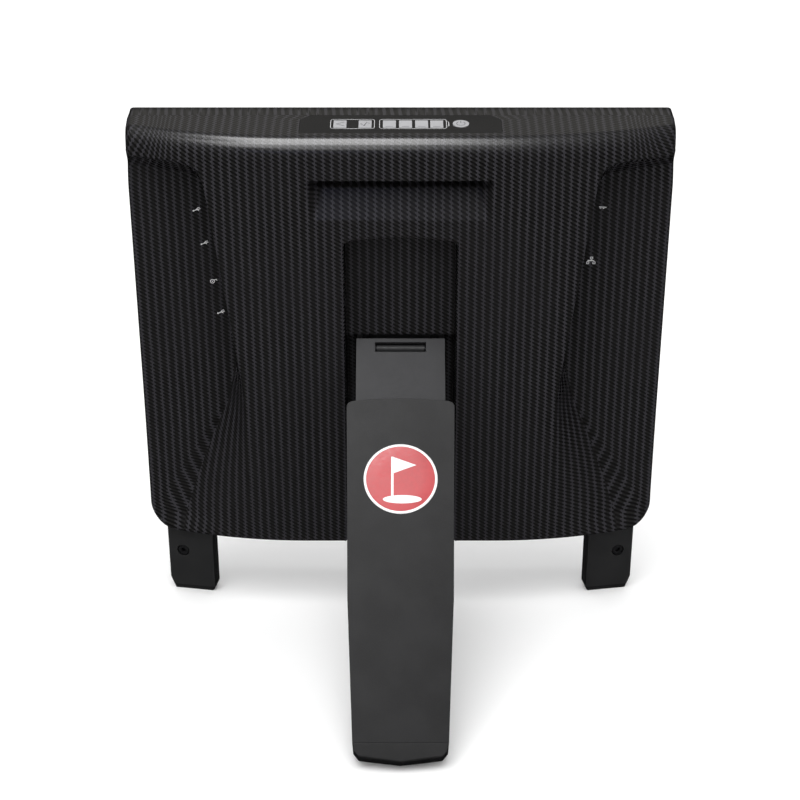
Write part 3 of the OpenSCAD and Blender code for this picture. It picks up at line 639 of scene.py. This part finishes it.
def build_rear_shell():
    """The rear shell as one closed skin, with the faces' corners on the weave."""
    points = [tuple(p) for p in grid.reshape(-1, 3)]
    faces, corners = [], []
    index = np.arange(columns * rows).reshape(columns, rows)
    label = [i for i in range(columns) if label_columns[i]]
    label_rows = range(rear_rows + len(turn) - 1 + 2, rows - 2)
    holes = [(label[0], label[-1], label_rows[0], label_rows[-1] + 1, (0, 0, -9.5))]
    for side, v0, v1 in ((-1, 157.5, 238.0), (1, 188.0, 239.5)):
        wall = [i for i in range(columns) if side * across[i] > 6.2 and side * across[i] < 6.95]
        wall_v = V[wall[0], :rear_rows]
        inside = [j for j in range(rear_rows) if v0 <= wall_v[j] <= v1]
        holes.append((wall[0], wall[-1], inside[0], inside[-1], (-19 * side, 0, 2.6)))

    def in_hole(i, j):
        return any(i0 <= i < i1 and j0 <= j < j1 for i0, i1, j0, j1, _ in holes)

    # Length along the weave: the height, and from the upper edge on the way over it and the top face
    step = np.linalg.norm(np.diff(grid[:, rear_rows - 1:], axis=1), axis=2)
    run = np.concatenate([V[:, :rear_rows], V[:, rear_rows - 1:rear_rows] + np.cumsum(step, 1)], 1)
    x_weave = np.where(np.arange(rows) < rear_rows, X, X[:, rear_rows - 1:rear_rows])
    lean = 0.55 * np.clip(run - 250, 0, 32) * smooth_step((x_weave - 130) / 24)
    weave_at = {nudge: np.sign(across + nudge)[:, None]
                * (weave_u(x_weave, V, np.abs(across + nudge)[:, None]) + lean) for nudge in (-0.01, 0.01)}

    def uv_of(i, j, a):
        """Place on the weave of grid point i, j, for the face or edge at column number a."""
        return float(weave_at[0.01 if a >= across[i] else -0.01][i, j]), float(run[i, j])

    for i in range(columns - 1):
        a = (across[i] + across[i + 1]) / 2
        for j in range(rows - 1):
            if in_hole(i, j):
                continue
            quad = ((i, j), (i + 1, j), (i + 1, j + 1), (i, j + 1))
            faces.append(tuple(int(index[q]) for q in quad))
            corners += [uv_of(*q, a) for q in quad]
    for i0, i1, j0, j1, push in holes:
        loop = ([(i, j0) for i in range(i0, i1)] + [(i1, j) for j in range(j0, j1)]
                + [(i, j1) for i in range(i1, i0, -1)] + [(i0, j) for j in range(j1, j0, -1)])
        ring = [int(index[q]) for q in loop]
        inner = list(range(len(points), len(points) + len(ring)))
        points += [tuple(np.array(points[k]) + push) for k in ring]
        flat = [(points[k][0], points[k][2]) for k in ring]
        for n in range(len(ring)):
            m = (n + 1) % len(ring)
            faces.append((ring[m], ring[n], inner[n], inner[m]))
            corners += [flat[m], flat[n], flat[n], flat[m]]
        faces.append(tuple(inner))
        corners += flat

    # Rounded sides and underside from the sheet's border, then straight to the split
    border = ([(0, j) for j in range(rows - 1, 0, -1)] + [(i, 0) for i in range(columns - 1)]
              + [(columns - 1, j) for j in range(rows)])
    along_i, along_j = np.gradient(grid, axis=0), np.gradient(grid, axis=1)
    normal = np.cross(along_i, along_j)
    normal /= np.maximum(np.linalg.norm(normal, axis=2, keepdims=True), 1e-9)
    rings = [[int(index[q]) for q in border]]
    outward, start, begin, ring_uv = [], [], [], []
    for i, j in border:
        s = -1 if i == 0 else 1
        p = grid[i, j]
        if j == 0 and abs(p[0]) <= CORNER[0] + 0.01:
            o = np.array([0, 0, -1.0])
        elif p[2] < CORNER[1]:
            o = np.array([s * (abs(p[0]) - CORNER[0]), 0, p[2] - CORNER[1]])
            o /= np.linalg.norm(o)
        else:
            o = np.array([s, 0, 0.0])
        n = normal[i, j]
        if j == 0 and n[2] > 0.3:
            n = np.array([0, -1.0, 0])
        outward.append(o)
        start.append(p)
        begin.append(n)
        ring_uv.append(uv_of(i, j, 0))
    outward, start, begin = map(np.array, (outward, start, begin))
    start[:, 0] /= draft(start[:, 0], start[:, 1], start[:, 2])
    cosine = np.clip((outward * begin).sum(1), -0.2, 0.9)
    gap = np.where(np.abs(outward[:, 0]) > 0.999, HALF_WIDTH - np.abs(start[:, 0]), EDGE_INSET)
    radius = gap / (1 - cosine)
    centre = start - begin * radius[:, None]
    angle = np.arccos(cosine)
    uv_rings = [ring_uv]
    steps = 6
    for k in range(1, steps + 1):
        f = k / steps
        blend = (begin * np.sin((1 - f) * angle)[:, None] + outward * np.sin(f * angle)[:, None])
        place = centre + radius[:, None] * blend / np.sin(angle)[:, None]
        last = place.copy()
        last[:, 0] *= draft(place[:, 0], place[:, 1], place[:, 2])
        rings.append(list(range(len(points), len(points) + len(place))))
        points += [tuple(p) for p in last]
        arc_length = radius * angle * f
        uv_rings.append([(u + math.copysign(arc_length[n], u) * abs(outward[n][0]), place[n][2])
                         for n, (u, v) in enumerate(ring_uv)])
    final = place.copy()
    final[:, 1] = SPLIT_Y - SEAM
    rings.append(list(range(len(points), len(points) + len(final))))
    points += [tuple(p) for p in final]
    uv_rings.append([(u + math.copysign(final[n][1] - last[n][1], u) * abs(outward[n][0]), v)
                     for n, (u, v) in enumerate(uv_rings[-1])])
    for (low, low_uv), (high, high_uv) in zip(zip(rings, uv_rings), zip(rings[1:], uv_rings[1:])):
        for n in range(len(low) - 1):
            faces.append((low[n], low[n + 1], high[n + 1], high[n])[::-1])
            corners += [low_uv[n], low_uv[n + 1], high_uv[n + 1], high_uv[n]][::-1]
    # Flat back of the shell at the split
    top_line = [int(index[i, rows - 1]) for i in range(columns)]
    end_left = [r[0] for r in rings[1:-1]]
    end_right = [r[-1] for r in rings[1:-1]]
    cap = rings[-1] + end_right[::-1] + top_line[::-1] + end_left
    faces.append(tuple(dict.fromkeys(cap)))
    corners += [(points[k][0], points[k][2]) for k in dict.fromkeys(cap)]
    # The points inside the openings belong to no face
    used = sorted({k for f in faces for k in f})
    renumbered = {old: new for new, old in enumerate(used)}
    faces = [tuple(renumbered[k] for k in f) for f in faces]
    piece = new_piece("rear_skin", [points[k] for k in used], faces, carbon, "housing", "carbon_shell", smooth=None)
    return piece, faces, corners


def set_weave(mesh, faces, corners):
    """Writes the weave's place for every face corner."""
    table, at = {}, 0
    for f in faces:
        table[tuple(sorted(f))] = dict(zip(f, corners[at:at + len(f)]))
        at += len(f)
    layer = mesh.uv_layers.new(name="weave")
    for polygon in mesh.polygons:
        found = table[tuple(sorted(polygon.vertices))]
        for loop in polygon.loop_indices:
            u, v = found[mesh.loops[loop].vertex_index]
            layer.data[loop].uv = (u / 100, v / 100)


rear_skin, rear_faces, rear_corners = build_rear_shell()
set_weave(rear_skin.data, rear_faces, rear_corners)
rear_skin.data.polygons.foreach_set("use_smooth", [True] * len(rear_skin.data.polygons))
rear_skin.data.set_sharp_from_angle(angle=math.radians(38))
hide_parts("rear_shell")

# ---- Front cover ----

FRONT_ROUND = 1.2
CAMERA_V = 238.0
WINDOW_HALF = (22, 9)
POINT_PITCH = 8


def run_between(start, end, pitch):
    """Evenly spread points on a straight line, without its last point."""
    start, end = np.array(start, float), np.array(end, float)
    count = max(1, round(np.linalg.norm(end - start) / pitch))
    return [tuple(start + (end - start) * k / count) for k in range(count)]


def build_front_cover():
    """Points, faces and weave places of the front cover, ring by ring from the split to the front."""
    top = top_at(SPLIT_Y)
    corner = HALF_WIDTH - CORNER_TOP_X
    side = [(HALF_WIDTH, CORNER[1]), (HALF_WIDTH, top - corner)]
    right = (arc(CORNER, CORNER[1], -90, 0, 12)[:-1] + run_between(*side, POINT_PITCH)
             + arc((CORNER_TOP_X, top - corner), corner, 0, 90, 6))
    half = (run_between((0, 0), (CORNER[0], 0), POINT_PITCH)[1:] + right
            + run_between(right[-1], (0, top), POINT_PITCH)[1:])
    ring = np.array([(0, 0)] + half + [(0, top)] + [(-x, v) for x, v in half[::-1]])
    along = np.roll(ring, -1, 0) - np.roll(ring, 1, 0)
    inward = np.stack([-along[:, 1], along[:, 0]], 1) / np.linalg.norm(along, axis=1, keepdims=True)
    n = len(ring)
    profile = [(0, SPLIT_Y + SEAM), (0, 42), (0, BODY_DEPTH - FRONT_ROUND)]
    profile += [(FRONT_ROUND * (1 - math.cos(t)), BODY_DEPTH - FRONT_ROUND * (1 - math.sin(t)))
                for t in np.radians([18, 36, 54, 72, 90])]
    profile.append((FRONT_ROUND + 0.8, BODY_DEPTH))
    points, faces, corners = [], [], []
    for inset, y in profile:
        rise = np.where(inward[:, 1] < -0.7, (y - SPLIT_Y) * math.tan(TOP_SLOPE), 0)
        points += [(x, y, v + r) for (x, v), r in zip(ring + inward * inset, rise)]
    for low in range(0, n * (len(profile) - 1), n):
        for k in range(n):
            m = (k + 1) % n
            faces.append((low + k, low + m, low + n + m, low + n + k))
            for q, c in zip(faces[-1], (k, m, m, k)):
                sideways = 1 - abs(inward[c][1])
                corners.append((ring[c][0] + math.copysign(sideways * (points[q][1] - SPLIT_Y + 14), ring[c][0]),
                                points[q][2]))
    wide, high = WINDOW_HALF
    window = soft_rectangle(-wide, wide, CAMERA_V - high, CAMERA_V + high, 8, 10)
    outer = points[-n:]
    hole = [(x, BODY_DEPTH, v) for x, v in window]
    first = len(points)
    points += hole + [(x, SPLIT_Y + 1, v) for x, v in window]
    w = len(window)
    loops = [[Vector((x, v, 0)) for x, y, v in outer], [Vector((x, v, 0)) for x, y, v in hole[::-1]]]
    index = list(range(first - n, first)) + list(range(first + w - 1, first - 1, -1))
    flat = [tuple(index[k] for k in f) for f in geometry.tessellate_polygon(loops)]
    flat += [(first + k, first + (k + 1) % w, first + w + (k + 1) % w, first + w + k) for k in range(w)]
    flat += [tuple(range(first + w, first + 2 * w)), tuple(range(n))]
    corners += [(points[k][0], points[k][2]) for f in flat for k in f]
    return points, faces + flat, corners


front_points, front_faces, front_corners = build_front_cover()
front_skin = new_piece("front_skin", front_points, front_faces, carbon, "housing", "radome", smooth=None)
set_weave(front_skin.data, front_faces, front_corners)
front_skin.data.materials.append(radome)
for polygon in front_skin.data.polygons:
    depth = min((BODY.inverted() @ front_skin.data.vertices[k].co).y for k in polygon.vertices)
    polygon.material_index = 1 if depth > BODY_DEPTH - 0.5 else 0
    polygon.use_smooth = True
front_skin.data.set_sharp_from_angle(angle=math.radians(38))
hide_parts("front_cover")

# ---- Leg badge: a plain round enamel badge with a flag on a green ----


def on_badge(points):
    """Points in the leg frame from (x, height, up) measured on the badge."""
    return [(x, -SLEEVE_OUT - h, z - SLEEVE_TOP - BADGE_DROP) for x, h, z in points]


disc_points, disc_faces = lathe([(0, 0.42), (12, 0.42), (20.2, 0.42), (20.5, 0.36)])
new_piece("badge_disc", on_badge(disc_points), disc_faces, enamel_red, "sleeve", "badge_red", LEG,
          node="leg_badge")
rim_points, rim_faces = lathe([(20.5, 0.0), (20.5, 0.46), (20.75, 0.55), (21.6, 0.55), (21.95, 0.4), (22, 0)])
new_piece("badge_rim", on_badge(rim_points), rim_faces, enamel_white, "sleeve", "badge_red", LEG)
flag = merged([
    tablet([(-5.6, -13), (-4.2, -13), (-4.2, 14), (-5.6, 14)], 0.4, 0.55, 0.1),
    tablet([(-4.4, 3.4), (9.4, 8.6), (-4.4, 13.8)], 0.4, 0.55, 0.1),
    tablet([(1 + 11.5 * math.cos(t), -13 + 2.6 * math.sin(t)) for t in np.linspace(0, 2 * math.pi, 49)[:-1]],
           0.4, 0.54, 0.1),
])
new_piece("badge_flag", on_badge(flag[0]), flag[1], enamel_white, "sleeve", "badge_red", LEG)

# ---- Keypad print: frames, strokes and the power symbol, as thin raised ink ----


def lie_on_top(part, lift):
    """Turns a part drawn in (x, thickness, up) so that it lies on the keypad."""
    points, faces = part
    return [(x, z, y + lift) for x, y, z in points], faces


def line(points, closed=False, radius=0.17):
    """Raised stroke on the keypad."""
    return lie_on_top(tube([(x, 0, z) for x, z in points], radius, closed, 6, 0.35), 0.03)


frames = merged([
    line(soft_rectangle(-41.2, -15.4, -6.3, 6.3, 1.8), True),
    line(soft_rectangle(-12.4, 27.0, -6.3, 6.3, 1.8), True),
    line([(27.3, -3.2), (28.4, -2.6), (28.4, 2.6), (27.3, 3.2)]),
])
new_piece("keypad_frames", *frames, ink_light, "housing", "light_pipe", TOP)
marks = [line([(-38, 0), (-33.2, 2.6)]), line([(-38, 0), (-33.2, -2.6)])]
marks += [line([(-24, 0), (-22.4, 0)])]
marks += [line([(-23.4, 0.4), (-21.6, -2.4), (-19.9, 2.4), (-18.4, 0.6)])]
for x in (-6.6, 2.9, 12.4, 21.3):
    marks.append(line([(x - 2.2, -3.4), (x + 2.2, -3.4)], radius=0.16))
marks.append(line([(35.5 + 2.5 * math.cos(t), 2.5 * math.sin(t)) for t in np.radians(np.linspace(125, 415, 25))]))
marks.append(line([(35.5, 0.6), (35.5, 3.2)]))
keypad_marks = merged(marks[:-2])
new_piece("keypad_marks", *keypad_marks, ink_dark, "housing", "light_pipe", TOP)
power_mark = merged(marks[-2:])
new_piece("power_mark", [(x, y, z + 0.3) for x, y, z in power_mark[0]], power_mark[1], ink_dark, "power_key",
          "light_pipe", TOP)

# ---- Port icons on the floors of the side bays ----


def on_floor(part, x, v):
    """Moves a part onto the floor of a side bay."""
    points, faces = part
    return [(x + p[0], BAY_DEPTH - 0.02 + p[1], v + p[2]) for p in points], faces


def floor_line(points, closed=False, radius=0.22):
    """Raised stroke on the floor of a side bay."""
    return tube([(x, 0, z) for x, z in points], radius, closed, 6, 0.5)


def plug_icon():
    """A cable end with two branches."""
    return merged([floor_line([(-2.1, -0.8), (2.0, 0.6)]), floor_line([(-0.8, -0.35), (0.5, 1.1), (1.6, 1.4)]),
                   floor_line([(0.1, 0.0), (1.1, -0.7)]),
                   tablet(arc((-2.2, -0.8), 0.5, 0, 330, 11), 0.05, -0.12, 0.05)])


def round_icon():
    """A round plug with a bent lead."""
    return merged([floor_line(arc((-0.6, -0.2), 1.2, 0, 345, 22), True),
                   floor_line([(0.3, 0.6), (1.9, 1.2), (2.3, 0.3)]),
                   tablet(arc((-0.6, -0.2), 0.4, 0, 330, 11), 0.05, -0.1, 0.04)])


def bar_icon():
    """A flat plug seen from the side."""
    return merged([floor_line([(-2.2, 0.5), (2.2, 0.1)]), floor_line([(-1.8, -0.3), (-0.8, -0.4)]),
                   floor_line([(0.0, -0.5), (1.0, -0.6)])])


def network_icon():
    """One box above two others, joined by lines."""
    boxes = [floor_line([(x - 0.7, z - 0.6), (x + 0.7, z - 0.6), (x + 0.7, z + 0.6), (x - 0.7, z + 0.6)], True, 0.18)
             for x, z in ((0.3, 1.7), (-1.9, -1.5), (1.9, -1.5))]
    tree = [floor_line([(0.3, 1.1), (0, 0)], radius=0.18),
            floor_line([(-1.9, -0.9), (-1.9, 0), (1.9, 0), (1.9, -0.9)], radius=0.18)]
    return merged(boxes + tree)


icons = merged([
    on_floor(plug_icon(), -122.5, 221.6), on_floor(plug_icon(), -118.8, 199.7), on_floor(round_icon(), -114.9, 174.3),
    on_floor(plug_icon(), -110.9, 153.2), on_floor(bar_icon(), 121.6, 222.9), on_floor(network_icon(), 116.2, 188.0)])
new_piece("port_icons", *icons, ink_light, "housing", "light_pipe")

# ---- Finishes of the CAD nodes that show or can be seen when it is opened ----


def dress(names, material, bevel=0.0, segments=2):
    """Gives CAD nodes a finish and, where asked, broken edges."""
    for name in names.split():
        piece = nodes[name]
        piece.data.materials.clear()
        piece.data.materials.append(material)
        if not bevel:
            continue
        piece.data.polygons.foreach_set("use_smooth", [True] * len(piece.data.polygons))
        stale = piece.data.attributes.get("custom_normal")
        if stale:
            piece.data.attributes.remove(stale)
        weld = piece.modifiers.new("weld", "WELD")
        weld.merge_threshold = 2e-6
        soften = piece.modifiers.new("bevel", "BEVEL")
        soften.width = bevel * MM
        soften.segments = segments
        soften.limit_method = "ANGLE"
        soften.angle_limit = math.radians(28)
        weighted = piece.modifiers.new("weighted", "WEIGHTED_NORMAL")
        weighted.weight = 80


dress("housing_gasket", rubber)
dress("chassis heat_spreader", aluminium)
dress("battery_bracket foot_brackets", aluminium, 0.3)
dress("radar_board main_board power_board camera_board keypad_board left_port_board right_port_board", mask)
dress("antenna_patches radar_standoffs wifi_antenna", gold)
dress("friction_washers", oxide, 0.08)
dress("radar_shield button_dome", tinned)
dress("usb_sockets ethernet_socket", tinned, 0.12)
dress("battery_pack", wrap, 1.0)
dress("camera_window", glass, 0.3)
dress("camera_lens sync_socket dc_socket", barrel, 0.25)
dress("keypad_label", film)
dress("battery_lights status_lights", diffuser, 0.15)
dress("power_button", diffuser, 0.3, 3)
dress("left_port_panel right_port_panel", black_plastic, 0.25)
dress("hinge_bracket", black_plastic, 0.35)
dress("hinge_pin", oxide, 0.15)
dress("hinge_screws foot_screws cover_screws shell_screws", oxide, 0.2)
dress("inner_plate", plate_metal, 0.4)
dress("slide_stop slide_guides", acetal, 0.2)
dress("leg_sleeve", powder, 0.9, 3)
dress("leg_foot", tip_rubber, 0.8, 3)
dress("left_foot right_foot", foot_plastic, 1.1, 3)
dress("foot_soles", rubber, 0.5)

# ---- Floor and light ----

FLOOR_HALF = 6.0
SKY_LIGHT = 0.85
floor_mesh = bpy.data.meshes.new("floor")
floor_corners = [(x * FLOOR_HALF, y * FLOOR_HALF, 0) for x, y in ((-1, -1), (1, -1), (1, 1), (-1, 1))]
floor_mesh.from_pydata(floor_corners, [], [(0, 1, 2, 3)])
floor = bpy.data.objects.new("floor", floor_mesh)
bpy.context.collection.objects.link(floor)
paper = Graph("paper_floor")
paper_tone = paper.noise(0.8, 2)
floor_mesh.materials.append(paper.finish(
    Base_Color=paper.mix(paper_tone, (0.955, 0.955, 0.955), (0.97, 0.97, 0.97)),
    Roughness=0.9, Specular_IOR_Level=0.0))

world = bpy.data.worlds.new("studio")
bpy.context.scene.world = world
world.use_nodes = True
sky = world.node_tree.nodes["Background"]
sky.inputs["Color"].default_value = (1, 1, 1, 1)
sky.inputs["Strength"].default_value = SKY_LIGHT
world.cycles_visibility.glossy = False
floor.visible_glossy = False


def softbox(name, place, target, width, height, radiance, colour=(1, 1, 1), gloss=True):
    """Soft light that shows only as a reflection or, without gloss, only as light on the surfaces."""
    light = bpy.data.lights.new(name, "AREA")
    light.shape = "RECTANGLE"
    light.size, light.size_y = width, height
    light.energy = radiance * math.pi * width * height
    light.color = colour
    light_object = bpy.data.objects.new(name, light)
    light_object.location = place
    light_object.rotation_euler = (Vector(target) - Vector(place)).to_track_quat("-Z", "Y").to_euler()
    light_object.visible_diffuse = not gloss
    light_object.visible_glossy = gloss
    bpy.context.collection.objects.link(light_object)


softbox("key_light", (-0.25, -0.80, 2.00), (0, 0, 0), 1.60, 1.60, 3.8, gloss=False)
softbox("far_floor_light", (0, 2.30, 1.60), (0, 2.301, 0), 3.60, 1.60, 0.9, gloss=False)
softbox("overhead_strip", (-0.135, -0.08, 1.60), (-0.135, -0.081, 0), 0.42, 0.94, 12.5)
softbox("left_panel", (-0.42, -0.75, 1.60), (-0.42, -0.751, 0), 0.30, 0.80, 6.5)
softbox("rear_strip", (-0.12, -1.08, 1.60), (-0.12, -1.081, 0), 0.30, 1.04, 3.8)
softbox("front_card", (0, 1.60, 1.60), (0, 0.07, 0.32), 3.6, 0.70, 0.30, (1.0, 0.97, 0.9))
softbox("cool_card", (-0.30, -1.60, 1.10), (0, 0.07, 0.3), 0.5, 0.35, 0.30, (0.3, 0.4, 1.0))
